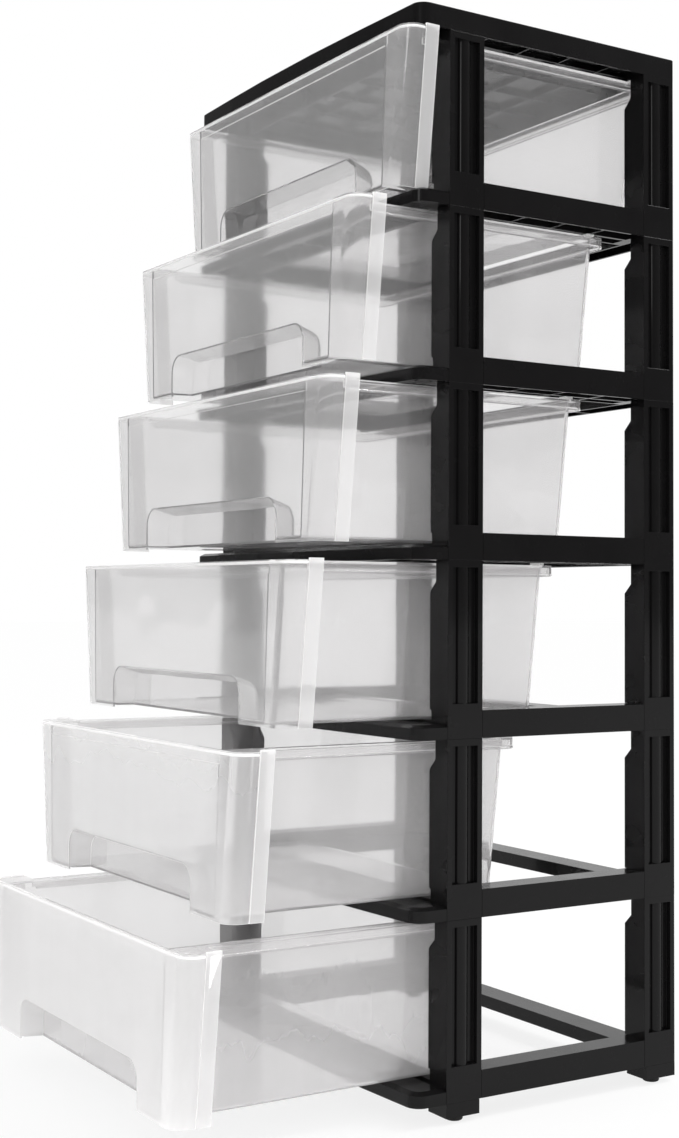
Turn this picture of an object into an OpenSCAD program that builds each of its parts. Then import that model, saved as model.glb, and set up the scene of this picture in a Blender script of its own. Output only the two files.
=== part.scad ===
// Six-tier drawer tower: knock-down plastic frame with clear sliding drawers.
// X runs left to right, -Y is the front, Z is up. The origin is on the floor,
// under the middle of the tower with its drawers standing open.

/* [Tower] */
// Number of tiers, counted from the top
tiers = 6; // [2:1:6]
// Height from one ring frame to the next
tier_pitch = 150; // [130:1:170]
// Width across the corner posts
frame_w = 402; // [340:1:460]
// Depth from the posts' front faces to the back
frame_d = 254; // [240:1:300]

/* [Ring frames] */
// Height of a ring's side rails
ring_h = 23.5; // [20:0.5:30]
// Width of a side rail
rail_w = 24; // [22:0.5:28]
// Height of the runners and front beam, on which a drawer slides
runner_h = 14.5; // [13.5:0.5:17]
// Width of each runner, inside its side rail
runner_w = 18; // [12:0.5:24]
// Width of the front beam behind the posts' front faces
beam_w = 14; // [10:0.5:20]
// Height of the front lip and the rear rail
lip_h = 12.5; // [11:0.5:13]
// Width of the rear rail
rear_rail_w = 28; // [20:0.5:36]
// How far the lip stands out in front of the posts, at its ends
lip_reach = 32; // [26:0.5:40]
// How much further the lip bows out in the middle
lip_bow = 5; // [2:0.5:10]
// Radius of the lip's two front corners
lip_corner_r = 12; // [6:0.5:16]
// Height of the lip's bevel
bevel_h = 2.5; // [1:0.5:4]
// Width of the lip's bevel
bevel_w = 5; // [2:0.5:8]
// Wall left by the pockets under the rails
rail_wall = 2.5; // [2:0.1:3.5]
// Number of pockets under each rail
pocket_count = 4; // [2:1:8]
// Depth of the drawer stops below each ring
stop_h = 1.2; // [0.8:0.1:1.5]
// Thickness of the drawer stops
stop_t = 3; // [2:0.5:5]

/* [Cover] */
// Height of the cover
cover_h = 19.5; // [16:0.5:26]
// Wall of the cover
cover_wall = 2.5; // [2:0.1:3.5]
// Height of the ribs under the cover
cover_rib_h = 4; // [2:0.5:6]
// Thickness of the ribs under the cover
cover_rib_t = 1.8; // [1.2:0.1:3]
// Spaces between ribs across the cover
cover_cells_x = 8; // [4:1:12]
// Spaces between ribs from front to back
cover_cells_y = 6; // [3:1:9]

/* [Corner posts] */
// Width of a post's side plate
post_w = 36; // [32:0.5:42]
// Thickness of the plate and wings
post_t = 3; // [2.5:0.1:3.5]
// Width of the front and rear wings
wing_w = 26.5; // [25.5:0.5:27]
// Width of the wings beside the drawer's rim
notch_w = 18; // [16:0.5:18]
// Height of the straight part of the rim notch
notch_h = 18; // [14:0.5:24]
// Border round the panel sunk in a post's side plate
panel_border = 5; // [4:0.5:7]
// Border above and below the sunk panel
panel_end = 6; // [4:0.5:10]
// Depth of the sunk panel
panel_depth = 5; // [3:0.5:6]
// Wall behind the sunk panel
panel_wall = 2; // [1.5:0.1:3]
// Radius of the round column in the sunk panel
column_r = 7; // [5:0.5:8]
// Radius of the pegs at the ends of a post
peg_r = 2.5; // [2:0.1:3]
// Length of the pegs
peg_len = 8; // [5:0.5:10]
// Radius of the boss that carries a peg
boss_r = 4; // [3.5:0.1:5]
// Height of the boss
boss_h = 12; // [8:0.5:20]
// Distance of the pegs from the side face
peg_in = 14; // [13:0.5:16]
// Distance of the pegs from the front and back of a post
peg_edge = 6; // [5.5:0.5:8]

/* [Feet] */
// Height of a foot under the bottom ring
foot_h = 12; // [9:0.5:20]
// Step of a foot behind the post's inner edge
foot_step = 2; // [1:0.5:4]
// Wall of a foot
foot_wall = 3; // [2:0.1:4]
// Radius of a glide
glide_r = 7.5; // [6:0.5:9]
// Height of a glide below its foot
glide_h = 5.5; // [3:0.5:8]
// Radius of a glide's stem
stem_r = 2.5; // [2:0.1:3]
// Length of a glide's stem
stem_len = 6; // [4:0.5:8]

/* [Drawers] */
// How far each drawer stands open, from the top one down
drawer_open = [14, 66, 91, 124, 167, 212];
// Wall of a drawer
drawer_wall = 2; // [1.5:0.1:2.5]
// Gap at each side between a drawer and the posts' wings
drawer_side_gap = 1.5; // [1:0.1:3]
// How much narrower each side is at the bottom
side_draft = 5.5; // [2:0.5:9]
// How much further forward the back wall is at the bottom
back_draft = 9; // [4:0.5:14]
// Radius of the drawer's rear corners
tub_r = 8; // [6:0.5:12]
// Radius round the edges of the drawer's floor
floor_r = 4; // [3:0.5:5]
// Room between a closed drawer's back wall and the frame's back
back_room = 5; // [5:0.5:14]
// Gap between a drawer's rim and the ring above
rim_gap = 2.5; // [2.2:0.1:4]
// Depth of the rim's turned-down edge
rim_drop = 7.5; // [5:0.5:10]
// Gap at each side between the rim and the post's notch
rim_side_gap = 1; // [0.5:0.1:2]
// Width of the rim across the back
rim_back = 5; // [4:0.5:5]
// Height of the stop bumps on the rim
bump_h = 2; // [1.7:0.1:2.1]
// Length of a stop bump
bump_len = 8; // [5:0.5:12]
// Distance of the stop bumps from the rim's rear end
bump_in = 13; // [6:0.5:18]
// Overhang of the front panel past each side of the frame, at its top
front_over = 5; // [0:0.5:8]
// How much narrower the front panel is at its bottom, at each side
front_taper = 16; // [8:0.5:20]
// Depth of the front panel from its face to its rear edge
front_depth = 33; // [26:0.5:34]
// Radius of the front panel's upright corners
front_r = 14; // [8:0.5:18]
// Gap between the front panel and the lip below it
front_gap = 0.8; // [0.5:0.1:1.5]
// Height of the thick band inside the front panel's top edge
front_band_h = 11; // [6:0.5:16]
// Thickness of that band
front_band_t = 2; // [1:0.1:4]
// Width of the flange along the rear edges of the front panel's sides
flange_w = 13; // [8:0.5:18]
// How far that flange stands out from the sides
flange_out = 1; // [0.5:0.1:1.5]
// How far the flange stands up above the rim
flange_up = 1.5; // [0.5:0.1:2]
// Distance of the flange from the sides' rear edges
flange_set = 0.5; // [0.2:0.1:2]

/* [Finger pull] */
// Width of the finger pull at its bottom
pull_w = 250; // [160:1:280]
// Height of the finger pull above the front panel's bottom edge
pull_h = 38; // [28:0.5:50]
// Depth of the finger pull
pull_depth = 20; // [14:0.5:24]
// Radius of the finger pull's upper corners
pull_r = 15; // [8:0.5:20]
// How far the pull's roof drops and its ends close in towards the back
pull_draft = 6; // [3:0.5:9]

/* [Clearances] */
// Running gap under and in front of a drawer
run_gap = 0.3; // [0.2:0.05:0.6]
// Gap between a post's plate and the ring's corner
fit_gap = 0.3; // [0.2:0.05:0.5]
// Gap round a peg or stem in its hole
peg_gap = 0.15; // [0.1:0.05:0.3]

/* [Hidden] */
sides = ["left", "right"];
ends = ["front", "back"];
corners = [for (e = ends, s = sides) str(e, "_", s)];

black = [0.07, 0.07, 0.075];
clear = [0.86, 0.88, 0.9, 0.45];
soft_black = [0.03, 0.03, 0.03];
$fn = 48;
eps = 0.01;

half_w = frame_w / 2;
front_y = -frame_d / 2;
back_y = frame_d / 2;
post_h = tier_pitch - ring_h;
plate_cut = post_t + fit_gap;
foot_w = wing_w - 0.5;
foot_d = post_w - foot_step;
base_z = glide_h + foot_h;

// The drawer's sizes, worked out from the frame that holds it.
// A drawer's own Y is 0 at the posts' front faces when it is shut, and its own
// Z is 0 at the underside of its floor.
drawer_h = tier_pitch - runner_h - run_gap - rim_gap;
tub_half = half_w - wing_w - drawer_side_gap;
tub_back = frame_d - back_room;
rim_half = half_w - notch_w - rim_side_gap;
rim_end = tub_back + rim_back;
front_half = half_w + front_over;
panel_half = front_half - flange_out;
front_face = -front_depth;
front_rear = -run_gap;
front_bottom = lip_h + front_gap - runner_h - run_gap;
bump_front = rim_end - bump_in - bump_len;
stop_y = beam_w - stop_t;
stop_x = (tub_half + rim_half) / 2;
stop_w = rim_half - tub_half - 2;

// Z of the underside of ring t, where 0 is the cover
function ring_z(t) = base_z + (tiers - t) * tier_pitch;
// Z of the underside of drawer t
function drawer_z(t) = ring_z(t) + runner_h + run_gap;

// Plan of the ring frames and the cover, drawn in by inset
module frame_plan(inset = 0) {
    r = lip_corner_r - inset;
    w = half_w - lip_corner_r;
    end_y = front_y - lip_reach + inset;
    bow_r = (w * w + lip_bow * lip_bow) / (2 * lip_bow);
    translate([-half_w + inset, end_y + r])
        square([frame_w - 2 * inset, frame_d + lip_reach - 2 * inset - r]);
    translate([-w, end_y])
        square([2 * w, lip_corner_r]);
    for (x = [-w, w])
        translate([x, end_y + r])
            circle(r);
    intersection() {
        translate([0, end_y - lip_bow + bow_r])
            circle(bow_r, $fn = 720);
        translate([-w, end_y - lip_bow])
            square([2 * w, lip_bow + 1]);
    }
}

// Places its children at one corner, drawn for the front right one
module at_corner(name) {
    left = name == "front_left" || name == "back_left";
    back = name == "back_left" || name == "back_right";
    mirror([left ? 1 : 0, 0, 0])
        mirror([0, back ? 1 : 0, 0])
            translate([half_w, front_y, 0])
                children();
}

// Places its children at the two peg axes of one corner
module at_pegs() {
    for (y = [peg_edge, post_w - peg_edge])
        translate([-peg_in, y, 0])
            children();
}

// Pockets under a rail from [x, y] that is w by d, leaving a skin on top
module rail_pockets(x, y, w, d, h) {
    along = w > d;
    cell = ((along ? w : d) - (pocket_count + 1) * rail_wall) / pocket_count;
    for (i = [0:pocket_count - 1]) {
        step = rail_wall + i * (cell + rail_wall);
        translate([x + (along ? step : rail_wall), y + (along ? rail_wall : step), -1])
            cube([along ? cell : w - 2 * rail_wall, along ? d - 2 * rail_wall : cell, h + 1]);
    }
}

// Ribs under the front beam that catch the bumps on an open drawer's rim
module drawer_stops() {
    for (side = [-1, 1])
        translate([side * stop_x, front_y + stop_y + stop_t / 2, -stop_h / 2 + eps])
            cube([stop_w, stop_t, stop_h + 2 * eps], center = true);
}

// The lip: its bevel runs round the front and dies out under the side rails
module lip_slab() {
    hull() {
        linear_extrude(lip_h - bevel_h)
            frame_plan();
        linear_extrude(lip_h) {
            intersection() {
                frame_plan(bevel_w);
                translate([-half_w, front_y - lip_reach - lip_bow])
                    square([frame_w, lip_reach + lip_bow + frame_d / 2]);
            }
            translate([-half_w + bevel_w, 0])
                square([frame_w - 2 * bevel_w, back_y]);
        }
    }
}

module ring() {
    inner = half_w - rail_w;
    difference() {
        union() {
            lip_slab();
            translate([-inner - eps, front_y, 0])
                cube([2 * inner + 2 * eps, beam_w, runner_h]);
            for (side = [-1, 1]) {
                translate([side * (half_w - rail_w / 2), 0, ring_h / 2])
                    cube([rail_w, frame_d, ring_h], center = true);
                translate([side * (inner - runner_w / 2), 0, runner_h / 2])
                    cube([runner_w + 2 * eps, frame_d, runner_h], center = true);
            }
            drawer_stops();
        }
        translate([-inner + runner_w, front_y + beam_w, -1])
            cube([2 * (inner - runner_w), frame_d - beam_w - rear_rail_w, ring_h + 2]);
        rail_pockets(-inner + rail_wall, front_y - lip_reach + rail_wall, 2 * inner - 2 * rail_wall,
                     lip_reach + stop_y - rail_wall, lip_h - rail_wall);
        rail_pockets(-inner + rail_wall, back_y - rear_rail_w, 2 * inner - 2 * rail_wall,
                     rear_rail_w, lip_h - rail_wall);
        for (side = [-1, 1]) {
            x = side > 0 ? inner : -half_w;
            rail_pockets(x, front_y + post_w, rail_w, frame_d - 2 * post_w, ring_h - rail_wall);
            runner_x = side > 0 ? inner - runner_w : -inner;
            rail_pockets(runner_x, front_y + post_w, runner_w + rail_wall - 1,
                         frame_d - 2 * post_w, runner_h - rail_wall);
        }
        for (c = corners)
            at_corner(c) {
                translate([-plate_cut, -fit_gap, -1])
                    cube([plate_cut + 1, post_w + 2 * fit_gap, ring_h + 2]);
                at_pegs()
                    translate([0, 0, -1])
                        cylinder(r = peg_r + peg_gap, h = ring_h + 2);
            }
    }
}

module cover() {
    ceiling = cover_h - cover_wall;
    cell_x = (frame_w - cover_wall) / cover_cells_x;
    cell_y = (frame_d + lip_reach - cover_wall) / cover_cells_y;
    difference() {
        union() {
            difference() {
                hull() {
                    linear_extrude(cover_h - 1)
                        frame_plan();
                    linear_extrude(cover_h)
                        frame_plan(1);
                }
                translate([0, 0, -1])
                    linear_extrude(ceiling + 1)
                        frame_plan(cover_wall);
            }
            intersection() {
                linear_extrude(cover_h - 1)
                    frame_plan(1);
                union() {
                    for (i = [1:cover_cells_x - 1])
                        translate([-half_w + cover_wall / 2 + i * cell_x, 0, ceiling - cover_rib_h / 2])
                            cube([cover_rib_t, 2 * frame_d, cover_rib_h + eps], center = true);
                    for (i = [1:cover_cells_y - 1])
                        translate([0, back_y - cover_wall / 2 - i * cell_y, ceiling - cover_rib_h / 2])
                            cube([frame_w, cover_rib_t, cover_rib_h + eps], center = true);
                }
            }
            // Corner blocks that the top posts plug into, and the bar that carries the stops
            for (c = corners)
                at_corner(c)
                    translate([-rail_w, 0, 0])
                        cube([rail_w - 1, post_w, ceiling + eps]);
            translate([-half_w + 1, front_y + stop_y, 0])
                cube([frame_w - 2, stop_t, ceiling + eps]);
            drawer_stops();
        }
        for (c = corners)
            at_corner(c)
                at_pegs()
                    translate([0, 0, -1])
                        cylinder(r = peg_r + peg_gap, h = peg_len + 2);
    }
}

// Inner edge of a wing, narrower at the top to let the drawer's rim pass
module wing(y) {
    slope = wing_w - notch_w;
    translate([0, y + post_t, 0])
        rotate([90, 0, 0])
            linear_extrude(post_t)
                polygon([
                    [0, 0], [-wing_w, 0],
                    [-wing_w, post_h - notch_h - slope],
                    [-notch_w, post_h - notch_h],
                    [-notch_w, post_h], [0, post_h]
                ]);
}

// Drawn for the front right corner, with Z 0 on top of the ring it stands on
module post() {
    well_w = post_w - 2 * panel_border;
    well_h = post_h - 2 * panel_end;
    difference() {
        union() {
            translate([-post_t, 0, -ring_h])
                cube([post_t, post_w, tier_pitch]);
            wing(0);
            wing(post_w - post_t);
            translate([-panel_depth - panel_wall, panel_border - panel_wall, panel_end - panel_wall])
                cube([panel_depth + panel_wall - 1, well_w + 2 * panel_wall, well_h + 2 * panel_wall]);
            at_pegs() {
                cylinder(r = boss_r, h = boss_h);
                translate([0, 0, post_h - boss_h])
                    cylinder(r = boss_r, h = boss_h);
            }
        }
        translate([-panel_depth, panel_border, panel_end])
            cube([panel_depth + 1, well_w, well_h]);
    }
    // The round column stands in the sunk panel, just below the plate's face
    intersection() {
        translate([-column_r - 0.5, post_w / 2, panel_end - eps])
            cylinder(r = column_r, h = well_h + 2 * eps);
        translate([-panel_depth - eps, 0, 0])
            cube([panel_depth, post_w, post_h]);
    }
    at_pegs() {
        translate([0, 0, -peg_len])
            cylinder(r = peg_r, h = peg_len + 1);
        translate([0, 0, post_h - 1])
            cylinder(r = peg_r, h = peg_len + 1);
    }
}

// Drawn for the front right corner, with Z 0 at the foot's underside. Its top
// has a notch for the drawer stop under the bottom ring.
module foot() {
    stem_hole = stem_r + peg_gap;
    difference() {
        translate([-foot_w, 0, 0])
            cube([foot_w, foot_d, foot_h]);
        translate([stop_x - half_w, stop_y + stop_t / 2, foot_h])
            cube([stop_w + 2 * fit_gap, stop_t + 2 * fit_gap, 2 * (stop_h + fit_gap)], center = true);
        difference() {
            translate([-foot_w + foot_wall, foot_wall, -1])
                cube([foot_w - 2 * foot_wall, foot_d - 2 * foot_wall, foot_h - foot_wall + 1]);
            translate([-foot_w / 2, foot_d / 2, -2])
                cylinder(r = glide_r, h = foot_h);
        }
        translate([-foot_w / 2, foot_d / 2, -1])
            cylinder(r = stem_hole, h = stem_len + 1.5);
    }
    at_pegs()
        translate([0, 0, foot_h - 1])
            cylinder(r = peg_r, h = peg_len + 1);
}

module glide() {
    translate([-foot_w / 2, foot_d / 2, 0]) {
        cylinder(r1 = glide_r - 1, r2 = glide_r, h = 1);
        translate([0, 0, 1])
            cylinder(r = glide_r, h = glide_h - 1);
        cylinder(r = stem_r, h = glide_h + stem_len);
    }
}

// Plan of the drawer's tub at one height, drawn in by inset. The front panel
// is its front wall.
module tub_plan(half, back, inset) {
    r = tub_r - inset;
    start = front_face + max(inset, drawer_wall / 2);
    translate([-half + inset, start])
        square([2 * (half - inset), back - start - tub_r]);
    translate([-half + tub_r, start])
        square([2 * (half - tub_r), back - start - inset]);
    for (x = [-1, 1])
        translate([x * (half - tub_r), back - tub_r])
            circle(r, $fn = 32);
}

// The tub tapers in towards its floor, whose edges are round
module tub_solid(inset, floor_z) {
    edge_r = floor_r - inset;
    hull() {
        translate([0, 0, drawer_h - eps])
            linear_extrude(inset > 0 ? 1 : eps)
                tub_plan(tub_half, tub_back, inset);
        for (a = [0:30:90])
            translate([0, 0, floor_z + edge_r * (1 - sin(a))])
                linear_extrude(eps)
                    tub_plan(tub_half - side_draft, tub_back - back_draft, inset + edge_r * (1 - cos(a)));
    }
}

// Plan of the front panel at one height, drawn in by inset
module front_plan(half, inset) {
    r = front_r - inset;
    for (x = [-1, 1])
        translate([x * (half - front_r), front_face + front_r])
            circle(r, $fn = 32);
    translate([-half + front_r, front_face + inset])
        square([2 * (half - front_r), front_rear - front_face - inset]);
    translate([-half + inset, front_face + front_r])
        square([2 * (half - inset), front_rear - front_face - front_r]);
}

// The front panel narrows towards its bottom edge
module front_solid(half, inset, top_z, bottom_z) {
    hull() {
        translate([0, 0, top_z - eps])
            linear_extrude(eps)
                front_plan(half, inset);
        translate([0, 0, bottom_z])
            linear_extrude(eps)
                front_plan(half - front_taper, inset);
    }
}

// Flange along the rear edges of the front panel's two sides
module front_flange() {
    flange_t = flange_out + drawer_wall / 2;
    foot_x = front_half - front_taper;
    top_z = drawer_h + flange_up;
    for (side = [0, 1])
        mirror([side, 0, 0])
            translate([0, front_rear - flange_set, 0])
                rotate([90, 0, 0])
                    linear_extrude(flange_w)
                        polygon([
                            [foot_x - flange_t, front_bottom], [foot_x, front_bottom],
                            [front_half, top_z], [front_half - flange_t, top_z]
                        ]);
}

// Arch outline of the finger pull, in X and Z
module pull_plan(half, height, r) {
    translate([-half, front_bottom - 1])
        square([2 * half, height - r + 1]);
    translate([-half + r, front_bottom - 1])
        square([2 * (half - r), height + 1]);
    for (x = [-1, 1])
        translate([x * (half - r), front_bottom + height - r])
            circle(r, $fn = 32);
}

// The finger pull goes in from the face and closes in towards its back
module pull_solid(grow, start_y, end_y) {
    hull() {
        translate([0, start_y, 0])
            rotate([90, 0, 0])
                linear_extrude(eps)
                    pull_plan(pull_w / 2 + grow, pull_h + grow, pull_r + grow);
        translate([0, end_y, 0])
            rotate([90, 0, 0])
                linear_extrude(eps)
                    pull_plan(pull_w / 2 - pull_draft + grow, pull_h - pull_draft + grow, pull_r + grow);
    }
}

// Rim plan outside the tub, drawn in by inset
module rim_plan(inset) {
    r = tub_r - inset;
    translate([-rim_half + inset, front_rear - 1])
        square([2 * (rim_half - inset), rim_end - front_rear - tub_r + 1]);
    translate([-rim_half + tub_r, front_rear - 1])
        square([2 * (rim_half - tub_r), rim_end - front_rear - inset + 1]);
    for (x = [-1, 1])
        translate([x * (rim_half - tub_r), rim_end - tub_r])
            circle(r);
}

module drawer_rim() {
    translate([0, 0, drawer_h - drawer_wall])
        linear_extrude(drawer_wall)
            rim_plan(0);
    translate([0, 0, drawer_h - rim_drop])
        linear_extrude(rim_drop)
            difference() {
                rim_plan(0);
                translate([0, -2])
                    rim_plan(drawer_wall);
            }
    for (side = [-1, 1])
        translate([side * (tub_half + rim_half) / 2, bump_front + bump_len / 2, drawer_h + bump_h / 2 - eps])
            cube([rim_half - tub_half, bump_len, bump_h + 2 * eps], center = true);
}

// Thick band along the inside of the front panel's top edge
module front_band_solid() {
    width = 2 * (tub_half - drawer_wall) + 2 * eps;
    translate([-width / 2, front_face + drawer_wall - eps, drawer_h - front_band_h])
        cube([width, front_band_t + eps, front_band_h]);
}

// Drawn shut, with Z 0 at the underside of the floor
module drawer_shell() {
    difference() {
        union() {
            tub_solid(0, 0);
            difference() {
                front_solid(panel_half, 0, drawer_h, front_bottom);
                front_solid(panel_half, drawer_wall, drawer_h - drawer_wall, front_bottom - eps);
            }
            drawer_rim();
            front_flange();
        }
        difference() {
            tub_solid(drawer_wall, drawer_wall);
            pull_solid(drawer_wall, front_face, front_face + pull_depth + drawer_wall);
        }
        pull_solid(0, front_face - eps, front_face + pull_depth);
    }
    front_band_solid();
}

module drawer(t) {
    color(clear)
        translate([0, front_y - drawer_open[t - 1], drawer_z(t)])
            drawer_shell();
}

// Moves the frame's middle back, so that the open drawers balance round Y 0
module stand() {
    translate([0, (front_depth + max(drawer_open)) / 2, 0])
        children();
}

color(black)
        stand()
            translate([0, 0, ring_z(0)])
                cover();

for (t = [1:tiers]) {
    color(black)
            stand()
                translate([0, 0, ring_z(t)])
                    ring();
    for (c = corners)
        color(black)
                stand()
                    translate([0, 0, ring_z(t) + ring_h])
                        at_corner(c)
                            post();
    stand()
            drawer(t);
}

for (c = corners) {
    color(black)
            stand()
                translate([0, 0, glide_h])
                    at_corner(c)
                        foot();
    color(soft_black)
            stand()
                at_corner(c)
                    glide();
}
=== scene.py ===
import math

import bmesh
import bpy
from mathutils import Matrix, Vector


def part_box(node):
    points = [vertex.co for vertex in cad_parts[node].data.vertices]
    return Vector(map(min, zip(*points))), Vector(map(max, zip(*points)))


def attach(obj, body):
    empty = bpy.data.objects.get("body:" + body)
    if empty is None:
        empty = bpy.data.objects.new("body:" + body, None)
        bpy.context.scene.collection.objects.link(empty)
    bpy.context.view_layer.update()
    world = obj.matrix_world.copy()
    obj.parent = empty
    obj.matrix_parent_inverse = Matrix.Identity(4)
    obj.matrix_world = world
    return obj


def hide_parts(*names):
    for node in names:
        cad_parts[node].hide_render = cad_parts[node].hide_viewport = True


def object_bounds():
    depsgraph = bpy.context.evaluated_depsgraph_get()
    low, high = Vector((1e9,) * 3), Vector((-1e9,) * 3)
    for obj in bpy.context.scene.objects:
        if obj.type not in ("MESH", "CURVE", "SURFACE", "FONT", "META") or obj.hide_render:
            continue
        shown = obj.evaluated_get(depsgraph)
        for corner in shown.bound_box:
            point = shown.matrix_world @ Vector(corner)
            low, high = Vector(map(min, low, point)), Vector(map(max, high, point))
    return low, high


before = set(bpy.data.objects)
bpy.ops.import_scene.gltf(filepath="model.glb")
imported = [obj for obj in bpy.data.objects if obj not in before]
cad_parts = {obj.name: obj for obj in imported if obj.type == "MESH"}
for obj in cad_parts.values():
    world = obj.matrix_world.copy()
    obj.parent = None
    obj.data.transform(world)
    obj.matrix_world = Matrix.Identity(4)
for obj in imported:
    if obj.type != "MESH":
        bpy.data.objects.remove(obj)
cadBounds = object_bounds()
print("frame loaded:", len(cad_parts), "nodes")

# The picture is 679 by 1138 pixels. Places are in metres, angles in radians.
photoCamera = {
    "place": (1.3273, -0.8140, 0.4314),
    "turn": 1.0135,  # to the left of straight back
    "rise": 0.0420,
    "roll": 0.0066,
    "picture": (679, 1138),
    "focalPixels": 1654.54,
    "raisedPixels": 36.4,  # the lens axis above the middle of the picture
    "sensor": 36,
    "clip": (0.01, 100),
}


def aimCamera(values):
    turn, rise, roll = values["turn"], values["rise"], values["roll"]
    ahead = Vector((-math.sin(turn), math.cos(turn), 0))
    level = Vector((math.cos(turn), math.sin(turn), 0))
    up = Vector((0, 0, 1))
    forward = ahead * math.cos(rise) + up * math.sin(rise)
    above = up * math.cos(rise) - ahead * math.sin(rise)
    right = level * math.cos(roll) + above * math.sin(roll)
    above = above * math.cos(roll) - level * math.sin(roll)
    lens = bpy.data.cameras.new("photoCamera")
    longSide = max(values["picture"])
    lens.sensor_width = values["sensor"]
    lens.lens = values["focalPixels"] / longSide * values["sensor"]
    lens.shift_y = -values["raisedPixels"] / longSide
    lens.clip_start, lens.clip_end = values["clip"]
    camera = bpy.data.objects.new("photoCamera", lens)
    bpy.context.scene.collection.objects.link(camera)
    axes = Matrix((right, above, -forward)).transposed().to_4x4()
    camera.matrix_world = Matrix.Translation(values["place"]) @ axes
    bpy.context.scene.camera = camera


aimCamera(photoCamera)


# A shader socket that takes part in Python sums
class Signal:
    def __init__(self, sheet, socket):
        self.sheet, self.socket = sheet, socket

    def join(self, operation, first, second):
        return self.sheet.signal("ShaderNodeMath", {"operation": operation}, {0: first, 1: second})

    def __add__(self, other):
        return self.join("ADD", self, other)

    def __radd__(self, other):
        return self.join("ADD", other, self)

    def __sub__(self, other):
        return self.join("SUBTRACT", self, other)

    def __rsub__(self, other):
        return self.join("SUBTRACT", other, self)

    def __mul__(self, other):
        return self.join("MULTIPLY", self, other)

    def __rmul__(self, other):
        return self.join("MULTIPLY", other, self)

    def __truediv__(self, other):
        return self.join("DIVIDE", self, other)

    def __pow__(self, other):
        return self.join("POWER", self, other)

    def most(self, other):
        return self.join("MAXIMUM", self, other)

    def least(self, other):
        return self.join("MINIMUM", self, other)


# The nodes of one material, of the world or of one Geometry Nodes tree
class Sheet:
    def __init__(self, tree):
        self.tree = tree
        tree.nodes.clear()

    def add(self, kind, settings=None, inputs=None):
        node = self.tree.nodes.new(kind)
        for name, value in (settings or {}).items():
            if name == "stops":
                self.setStops(node.color_ramp, value)
            else:
                setattr(node, name, value)
        for name, value in (inputs or {}).items():
            if isinstance(value, Signal):
                value = value.socket
            elif isinstance(value, bpy.types.Node):
                value = value.outputs[0]
            if isinstance(value, bpy.types.NodeSocket):
                self.tree.links.new(value, node.inputs[name])
            else:
                node.inputs[name].default_value = value
        return node

    def setStops(self, ramp, stops):
        while len(ramp.elements) < len(stops):
            ramp.elements.new(0.5)
        for element, (place, shade) in zip(ramp.elements, stops):
            element.position, element.color = place, (shade, shade, shade, 1)

    def signal(self, kind, settings=None, inputs=None, output=0):
        return Signal(self, self.add(kind, settings, inputs).outputs[output])


def newMaterial(name):
    material = bpy.data.materials.new(name)
    material.use_nodes = True
    sheet = Sheet(material.node_tree)
    place = sheet.signal("ShaderNodeTexCoord", output="Object")
    return material, sheet, place


def noise(sheet, place, scale, detail):
    inputs = {"Vector": place, "Scale": scale, "Detail": detail}
    return sheet.signal("ShaderNodeTexNoise", {}, inputs, "Fac")


# Moulded black plastic of the frame: satin, with a fine grain and faint flow marks.
# The colour goes to the paler one by the shares of flow marks, clouds and scuffs.
frameBlackLook = {
    "colour": (0.0036, 0.0034, 0.0036), "paler": (0.0085, 0.0081, 0.0083),
    "roughness": 0.26, "roughnessSpread": 0.14, "specular": 0.06,
    "coat": 0.22, "coatRoughness": 0.07,
    "grainScale": 1600, "grain": 0.10, "grainDepth": 0.0001,
    "flowScale": 9, "cloudScale": 26, "scuffScale": 90,
    "flowShare": 0.6, "cloudShare": 0.4, "scuffShare": 0.15,
    "scuffStart": 0.62, "scuffFull": 0.72,
}


def makeBlackPlastic(name, look):
    material, sheet, place = newMaterial(name)
    flow = noise(sheet, place, look["flowScale"], 3)
    cloud = noise(sheet, place, look["cloudScale"], 5)
    grain = noise(sheet, place, look["grainScale"], 2)
    stops = ((look["scuffStart"], 0), (look["scuffFull"], 1))
    scuff = sheet.signal("ShaderNodeValToRGB", {"stops": stops},
                         {"Fac": noise(sheet, place, look["scuffScale"], 6)})
    marks = flow * look["flowShare"] + cloud * look["cloudShare"] + scuff * look["scuffShare"]
    tone = marks.least(1.0)
    colour = sheet.add("ShaderNodeMix", {"data_type": "RGBA"},
                       {0: tone, 6: (*look["colour"], 1), 7: (*look["paler"], 1)})
    bump = sheet.add("ShaderNodeBump", {}, {
        "Strength": look["grain"], "Distance": look["grainDepth"], "Height": grain})
    smoothest = look["roughness"] - look["roughnessSpread"] / 2
    shader = sheet.add("ShaderNodeBsdfPrincipled", {}, {
        "Base Color": colour.outputs[2],
        "Roughness": cloud * look["roughnessSpread"] + smoothest,
        "Specular IOR Level": look["specular"],
        "Coat Weight": look["coat"], "Coat Roughness": look["coatRoughness"],
        "Normal": bump,
    })
    sheet.add("ShaderNodeOutputMaterial", {}, {"Surface": shader})
    return material


# The glides under the feet are duller and have no gloss
glideLook = dict(
    frameBlackLook, colour=(0.012, 0.012, 0.012), paler=(0.020, 0.019, 0.019),
    roughness=0.62, roughnessSpread=0.12, specular=0.3, coat=0.0, coatRoughness=0.1,
    grainScale=900, grain=0.25, flowScale=20, cloudScale=60, scuffScale=120)

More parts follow.
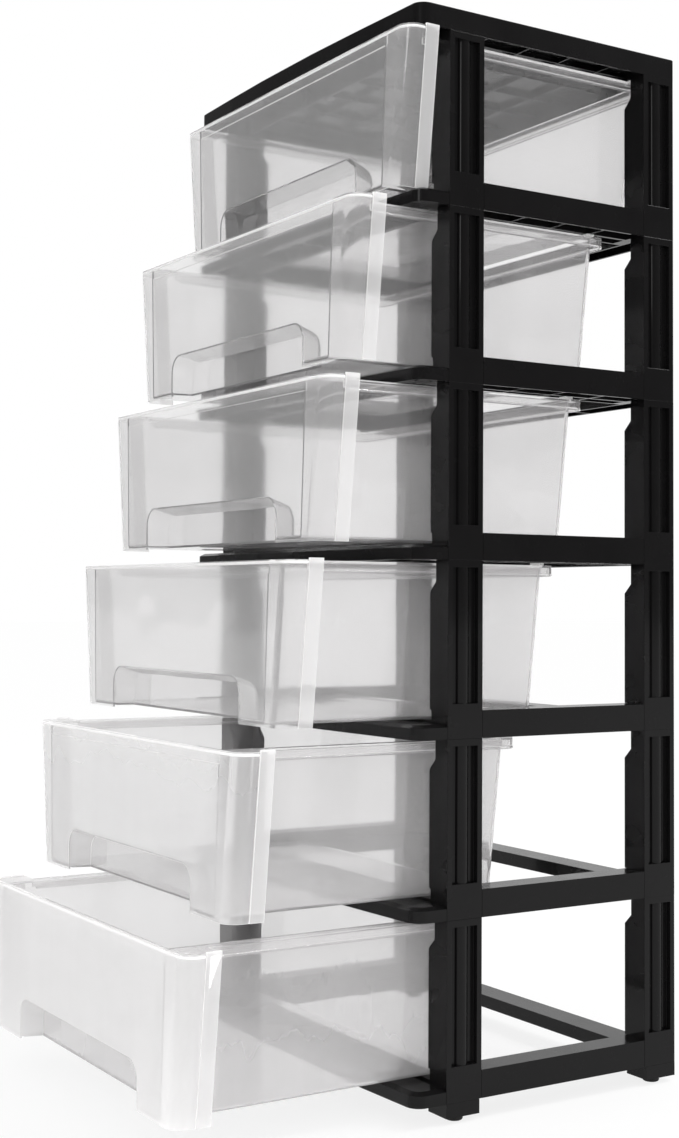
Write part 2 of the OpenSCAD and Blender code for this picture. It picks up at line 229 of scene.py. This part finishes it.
# Clear plastic of the drawers, with the milky haze that its faces take on. From the height
# "top" down to the floor more milk is added, painted light in place of the floor's bounce
# light. All its faces carry a painted glow, an emission for the light they gather, most on
# the thin edges, which look whiter than the walls.
wallLook = {
    "clear": (0.995, 0.990, 0.992), "roughness": 0.04, "ior": 1.49,
    "milk": (0.97, 0.958, 0.962), "milkRoughness": 0.9, "translucent": 0.4, "glow": 0.02,
    "haze": 0.115, "hazeSpread": 0.05, "paintedFloorLightHaze": 0.16, "paintedFloorLightPower": 2, "top": 0.9,
    "cloudScale": 7, "streakScale": (30, 30, 4), "cloudShare": 0.6, "streakShare": 0.4,
    "wave": 0.5, "waveScale": 11, "waveDepth": 0.004,
}
# The fronts take the painted floor light most strongly, on the lowest drawers most, and a painted
# glow
frontLook = dict(
    wallLook, milk=(0.985, 0.98, 0.98), roughness=0.07, glow=0.07,
    haze=0.15, paintedFloorLightHaze=0.7, paintedFloorLightPower=5)
flangeLook = dict(wallLook, milk=(0.985, 0.98, 0.98), haze=0.5, wave=0.1, glow=0.06)
# Thin edges: extra milk and a strong painted glow, painted whiter for the light they gather
edgePaintedGlowLook = dict(wallLook, milk=(0.995, 0.99, 0.99), haze=0.7, hazeSpread=0.1, wave=0.05, glow=0.4)


def makeClearPlastic(name, look):
    material, sheet, place = newMaterial(name)
    wave = noise(sheet, place, look["waveScale"], 1)
    cloud = noise(sheet, place, look["cloudScale"], 3)
    drawn = sheet.add("ShaderNodeMapping", {}, {"Vector": place, "Scale": look["streakScale"]})
    streak = noise(sheet, drawn, 1, 3)
    bump = sheet.add("ShaderNodeBump", {}, {
        "Strength": look["wave"], "Distance": look["waveDepth"], "Height": wave})
    glass = sheet.add("ShaderNodeBsdfPrincipled", {}, {
        "Base Color": (*look["clear"], 1), "Roughness": look["roughness"], "IOR": look["ior"],
        "Transmission Weight": 1.0, "Normal": bump})
    # The emission of the milk is a painted glow, no lamp
    near = sheet.add("ShaderNodeBsdfPrincipled", {}, {
        "Base Color": (*look["milk"], 1), "Roughness": look["milkRoughness"],
        "Specular IOR Level": 0.0, "Normal": bump,
        "Emission Color": (*look["milk"], 1), "Emission Strength": look["glow"]})
    far = sheet.add("ShaderNodeBsdfTranslucent", {}, {
        "Color": (*look["milk"], 1), "Normal": bump})
    milk = sheet.add("ShaderNodeMixShader", {}, {0: look["translucent"], 1: near, 2: far})
    height = sheet.signal("ShaderNodeSeparateXYZ", {}, {0: place}, "Z")
    # Painted light: more milk towards the floor, in place of the light that the floor throws up
    low = (1 - height / look["top"]).most(0.0) ** look["paintedFloorLightPower"]
    patches = cloud * look["cloudShare"] + streak * look["streakShare"]
    spread = (patches - 0.5) * (2 * look["hazeSpread"])
    # The plastic's own milk with its random clouds and streaks, plus the painted floor light
    haze = spread + low * look["paintedFloorLightHaze"] + look["haze"]
    both = sheet.add("ShaderNodeMixShader", {}, {0: haze, 1: glass, 2: milk})
    sheet.add("ShaderNodeOutputMaterial", {}, {"Surface": both})
    material.cycles.emission_sampling = "NONE"  # too weak a glow to be treated as a lamp
    return material


frameBlack = makeBlackPlastic("frameBlack", frameBlackLook)
glideBlack = makeBlackPlastic("glideBlack", glideLook)
drawerFinishes = {
    "wall": makeClearPlastic("drawerWall", wallLook),
    "edge": makeClearPlastic("drawerEdgePaintedGlow", edgePaintedGlowLook),
    "front": makeClearPlastic("drawerFront", frontLook),
    "flange": makeClearPlastic("drawerFlange", flangeLook),
}
print("materials made")

# Sharp edges are rounded a little, by "frame" on the frame's nodes and by "drawer"
# on the drawers. The two angles are in degrees.
softEdges = {
    "weld": 0.00001, "flatAngle": 1, "sharpAngle": 35,
    "frame": 0.0007, "drawer": 0.0005, "segments": 2,
}


def roundEdges(piece, width, values):
    bevel = piece.modifiers.new("roundEdges", "BEVEL")
    bevel.width, bevel.segments = width, values["segments"]
    bevel.limit_method = "ANGLE"
    bevel.angle_limit = math.radians(values["sharpAngle"])
    shading = piece.modifiers.new("evenShading", "WEIGHTED_NORMAL")
    shading.keep_sharp = True
    return bevel


def dressFrameNode(piece, material, values):
    for slot in piece.material_slots:
        slot.material = material
    weld = piece.modifiers.new("weld", "WELD")
    weld.merge_threshold = values["weld"]
    flat = piece.modifiers.new("flat", "DECIMATE")
    flat.decimate_type = "DISSOLVE"
    flat.angle_limit = math.radians(values["flatAngle"])
    roundEdges(piece, values["frame"], values)


for name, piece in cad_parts.items():
    if not name.startswith("drawer"):
        dressFrameNode(piece, glideBlack if name.startswith("glide") else frameBlack, softEdges)
print("frame dressed")

# A drawer's shell. Depths are from the front panel's face, and the flange is the
# band along the rear edges of the panel's two sides.
drawerShell = {
    "thin": 0.0034,  # faces narrower than this are edges of the walls
    "curvedShare": 0.3,  # unless more of their outline than this is in a round surface
    "panelDepth": 0.0188, "flangeDepth": 0.0336,
    "flangeSide": 0.185,  # least distance from the drawer's middle
    "outward": 0.9,  # least share of the normal that points sideways
}


def finishOf(face, front, values, sharpAngle):
    length = face.calc_perimeter()
    width = 2 * face.calc_area() / length
    gentle = [edge for edge in face.edges if edge.calc_face_angle(0) < sharpAngle]
    curved = sum(edge.calc_length() for edge in gentle)
    middle = face.calc_center_median()
    depth = middle.y - front
    outward = face.normal.x * middle.x > values["outward"] * abs(middle.x)
    atSide = outward and abs(middle.x) > values["flangeSide"]
    if atSide and values["panelDepth"] < depth < values["flangeDepth"]:
        return "flange"
    # Thin faces take the edge finish, painted whiter with its milk and painted glow
    if width < values["thin"] and curved < values["curvedShare"] * length:
        return "edge"
    return "front" if depth < values["panelDepth"] else "wall"


def makeDrawer(name, values, edges):
    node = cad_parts[name]
    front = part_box(name)[0][1]
    sharpAngle = math.radians(edges["sharpAngle"])
    shell = bmesh.new()
    shell.from_mesh(node.data)
    bmesh.ops.remove_doubles(shell, verts=shell.verts, dist=edges["weld"])
    bmesh.ops.dissolve_limit(shell, angle_limit=math.radians(edges["flatAngle"]),
                             verts=shell.verts, edges=shell.edges)
    finishes = list(drawerFinishes)
    for face in shell.faces:
        face.smooth = True
        face.material_index = finishes.index(finishOf(face, front, values, sharpAngle))
    mesh = bpy.data.meshes.new(name + "_shell")
    shell.to_mesh(mesh)
    shell.free()
    mesh.set_sharp_from_angle(angle=sharpAngle)
    for material in drawerFinishes.values():
        mesh.materials.append(material)
    piece = bpy.data.objects.new(name + "_shell", mesh)
    bpy.context.scene.collection.objects.link(piece)
    # The rounded edges take the edge finish too, with its painted glow
    roundEdges(piece, edges["drawer"], edges).material = finishes.index("edge")
    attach(piece, name)
    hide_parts(name)


drawerNames = [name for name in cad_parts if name.startswith("drawer")]
for name in drawerNames:
    makeDrawer(name, drawerShell, softEdges)
print("drawers made:", len(drawerNames))

# Beads: one under the edge of a drawer's rim, round the two sides and the back, and
# one along the top of its front panel, each a U seen from above. "Open Y" and "Shut Y"
# are the U's open and closed ends, from the panel's face, and "Height" is from the
# drawer's underside.
beads = {
    "rim_bead": {
        "Half Width": 0.1812, "Open Y": 0.036, "Shut Y": 0.2862, "Height": 0.1256,
        "Corner Radius": 0.0072, "Bead Radius": 0.0012},
    "front_bead": {
        "Half Width": 0.2038, "Open Y": 0.0186, "Shut Y": 0.0012, "Height": 0.1321,
        "Corner Radius": 0.0128, "Bead Radius": 0.0012},
}
beadSteps = {"corner": 8, "around": 12}


def makeBeadTree(names, steps):
    tree = bpy.data.node_groups.new("bead", "GeometryNodeTree")
    for name in names:
        tree.interface.new_socket(name, in_out="INPUT", socket_type="NodeSocketFloat")
    tree.interface.new_socket("Finish", in_out="INPUT", socket_type="NodeSocketMaterial")
    tree.interface.new_socket("Geometry", in_out="OUTPUT", socket_type="NodeSocketGeometry")
    sheet = Sheet(tree)
    given = sheet.add("NodeGroupInput").outputs
    size = {name: Signal(sheet, given[name]) for name in names}
    # Four points of a line are moved to the ends and corners of a U
    line = sheet.add("GeometryNodeCurvePrimitiveLine")
    four = sheet.add("GeometryNodeResampleCurve", {}, {"Curve": line, "Count": 4})
    fromMiddle = sheet.signal("GeometryNodeInputIndex") - 1.5
    onRight = fromMiddle.join("GREATER_THAN", fromMiddle, 0.0)
    atShut = fromMiddle.join("LESS_THAN", fromMiddle * fromMiddle, 1.0)
    corner = sheet.add("ShaderNodeCombineXYZ", {}, {
        "X": size["Half Width"] * (onRight * 2 - 1),
        "Y": size["Panel Y"] + size["Open Y"] + atShut * (size["Shut Y"] - size["Open Y"]),
        "Z": size["Floor Z"] + size["Height"]})
    bent = sheet.add("GeometryNodeSetPosition", {}, {"Geometry": four, "Position": corner})
    route = sheet.add("GeometryNodeFilletCurve", {"mode": "POLY"}, {
        "Curve": bent, "Count": steps["corner"], "Radius": size["Corner Radius"]})
    section = sheet.add("GeometryNodeCurvePrimitiveCircle", {}, {
        "Resolution": steps["around"], "Radius": size["Bead Radius"]})
    bead = sheet.add("GeometryNodeCurveToMesh", {}, {
        "Curve": route, "Profile Curve": section, "Fill Caps": True})
    real = sheet.add("GeometryNodeRealizeInstances", {}, {"Geometry": bead})
    done = sheet.add("GeometryNodeSetMaterial", {}, {
        "Geometry": real, "Material": given["Finish"]})
    sheet.add("NodeGroupOutput", {}, {"Geometry": done})
    return tree


def makeBead(drawer, kind, finish, tree):
    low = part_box(drawer)[0]
    host = bpy.data.objects.new("beadHost", bpy.data.meshes.new("beadHost"))
    bpy.context.scene.collection.objects.link(host)
    nodes = host.modifiers.new("bead", "NODES")
    nodes.node_group = tree
    values = dict(beads[kind], **{"Panel Y": low[1], "Floor Z": low[2], "Finish": finish})
    for item in tree.interface.items_tree:
        if item.in_out == "INPUT":
            nodes[item.identifier] = values[item.name]
    shape = host.evaluated_get(bpy.context.evaluated_depsgraph_get())
    mesh = bpy.data.meshes.new_from_object(shape)
    bpy.data.objects.remove(host)
    for face in mesh.polygons:
        face.use_smooth = len(face.vertices) == 4
    piece = bpy.data.objects.new(drawer + "_" + kind, mesh)
    bpy.context.scene.collection.objects.link(piece)
    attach(piece, drawer)


beadTree = makeBeadTree([*beads["rim_bead"], "Panel Y", "Floor Z"], beadSteps)
for name in drawerNames:
    makeBead(name, "rim_bead", drawerFinishes["wall"], beadTree)
    # The front bead takes the edge finish: a painted bright line along the top of the front panel
    makeBead(name, "front_bead", drawerFinishes["edge"], beadTree)
print("beads made")

# Plain studio: a white room for what looks straight at it or through the drawers, a
# slightly brighter one for diffuse light, and for what mirrors it a white backdrop
# between dark flanks. "backdropStart" and "backdropFull" are cosines of the angle
# from the backdrop's middle.
studio = {
    "diffuse": 1.15, "flank": 0.15, "top": 0.1,
    "backdrop": (-0.85, 0.53, 0.0), "backdropStart": 0.5, "backdropFull": 0.95,
    "floorSide": 30, "paper": 0.80, "shadowShare": 0.18, "floorGlow": 1.01,
    "bounces": 24,
}
# Place, size and power of each lamp, all aimed at the middle of the tower
lamps = {
    "keyLamp": ((1.0, 1.35, 2.9), 0.6, 28),
    "backLamp": ((1.1, 2.1, 2.4), 0.6, 16),
    "sideLamp": ((1.6, -2.2, 1.5), 0.6, 5),
}


def seenDirectly(sheet):
    ray = sheet.add("ShaderNodeLightPath")
    direct = Signal(sheet, ray.outputs["Is Camera Ray"])
    looks = direct.most(Signal(sheet, ray.outputs["Is Transmission Ray"]))
    return looks, Signal(sheet, ray.outputs["Is Glossy Ray"])


def makeRoom(values):
    world = bpy.data.worlds.new("studioRoom")
    bpy.context.scene.world = world
    world.use_nodes = True
    world.cycles.sampling_method = "NONE"  # so that each kind of ray meets its own strength
    sheet = Sheet(world.node_tree)
    looks, mirrors = seenDirectly(sheet)
    way = sheet.signal("ShaderNodeTexCoord", output="Generated")
    behind = sheet.signal("ShaderNodeVectorMath", {"operation": "DOT_PRODUCT"},
                          {0: way, 1: values["backdrop"]}, "Value")
    screen = sheet.signal("ShaderNodeMapRange", {"interpolation_type": "SMOOTHSTEP"},
                          {"Value": behind, "From Min": values["backdropStart"],
                           "From Max": values["backdropFull"]})
    height = sheet.signal("ShaderNodeSeparateXYZ", {}, {0: way}, "Z").most(0.0)
    room = screen * (1 - values["flank"]) + values["flank"] + height * values["top"]
    plain = (1 - mirrors) * values["diffuse"] + mirrors * room.least(1.0)
    strength = looks + (1 - looks) * plain
    glow = sheet.add("ShaderNodeBackground", {}, {"Color": (1, 1, 1, 1), "Strength": strength})
    sheet.add("ShaderNodeOutputWorld", {}, {"Surface": glow})


def makeLamp(name, place, size, power, target):
    data = bpy.data.lights.new(name, "AREA")
    data.shape, data.size, data.energy = "SQUARE", size, power
    lamp = bpy.data.objects.new(name, data)
    bpy.context.scene.collection.objects.link(lamp)
    lamp.location = place
    lamp.rotation_euler = (target - Vector(place)).to_track_quat("-Z", "Y").to_euler()


def makeFloor(values):
    side = values["floorSide"]
    mesh = bpy.data.meshes.new("floor")
    corners = [(-side, -side, 0), (side, -side, 0), (side, side, 0), (-side, side, 0)]
    mesh.from_pydata(corners, [], [(0, 1, 2, 3)])
    floor = bpy.data.objects.new("floor", mesh)
    bpy.context.scene.collection.objects.link(floor)
    material, sheet, place = newMaterial("floorPaper")
    looks, mirrors = seenDirectly(sheet)
    paper = sheet.add("ShaderNodeBsdfDiffuse", {}, {"Color": (values["paper"],) * 3 + (1,)})
    glow = sheet.add("ShaderNodeEmission", {}, {
        "Color": (1, 1, 1, 1), "Strength": values["floorGlow"]})
    share = looks.most(mirrors) * (1 - values["shadowShare"])
    both = sheet.add("ShaderNodeMixShader", {}, {0: share, 1: paper, 2: glow})
    sheet.add("ShaderNodeOutputMaterial", {}, {"Surface": both})
    mesh.materials.append(material)


makeRoom(studio)
middle = (Vector(cadBounds[0]) + Vector(cadBounds[1])) / 2
for name, (place, size, power) in lamps.items():
    makeLamp(name, place, size, power, middle)
makeFloor(studio)
scene = bpy.context.scene
scene.view_settings.view_transform = "Standard"
scene.cycles.max_bounces = studio["bounces"]
scene.cycles.transmission_bounces = studio["bounces"]
scene.cycles.transparent_max_bounces = studio["bounces"]
print("studio made")
